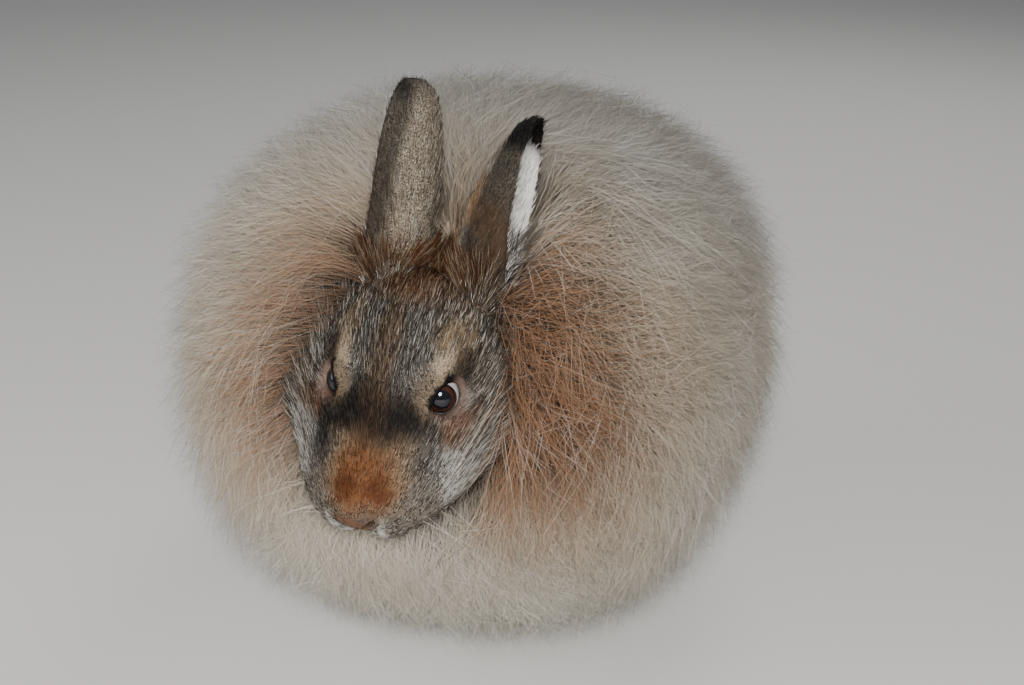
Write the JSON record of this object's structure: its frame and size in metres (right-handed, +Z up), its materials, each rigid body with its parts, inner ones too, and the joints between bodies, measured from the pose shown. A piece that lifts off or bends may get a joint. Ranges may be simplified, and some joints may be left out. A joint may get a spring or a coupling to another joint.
{
  "type": "angora rabbit",
  "caption": "Still, life-size angora rabbit in full coat, crouched with its nose low and its ears up, the wool a round ball of overlapping locks.",
  "frame": {"origin": "on the floor, under the middle of the whole box", "axes": "-Y the way the rabbit faces, +X its left side, +Z up"},
  "size_m": [0.3168, 0.346, 0.2778],
  "materials": {
    "wool": "soft, matt, fine wool in grey beige, rust round the head",
    "face_fur": "short ticked fur, grey and black with a rust nose",
    "ear_fur": "short ticked fur with dark tips and a pale lining",
    "leg_fur": "dense short wool",
    "eye": "wet, dark brown"
  },
  "bodies": {
    "root": {"head": "face_fur", "ear_left": "ear_fur", "ear_right": "ear_fur", "eye_left": "eye", "eye_right": "eye", "neck": "wool", "torso": "wool", "tail": "wool", "foreleg_left": "leg_fur", "foreleg_right": "leg_fur", "hindleg_left": "leg_fur", "hindleg_right": "leg_fur"}
  },
  "joints": []
}
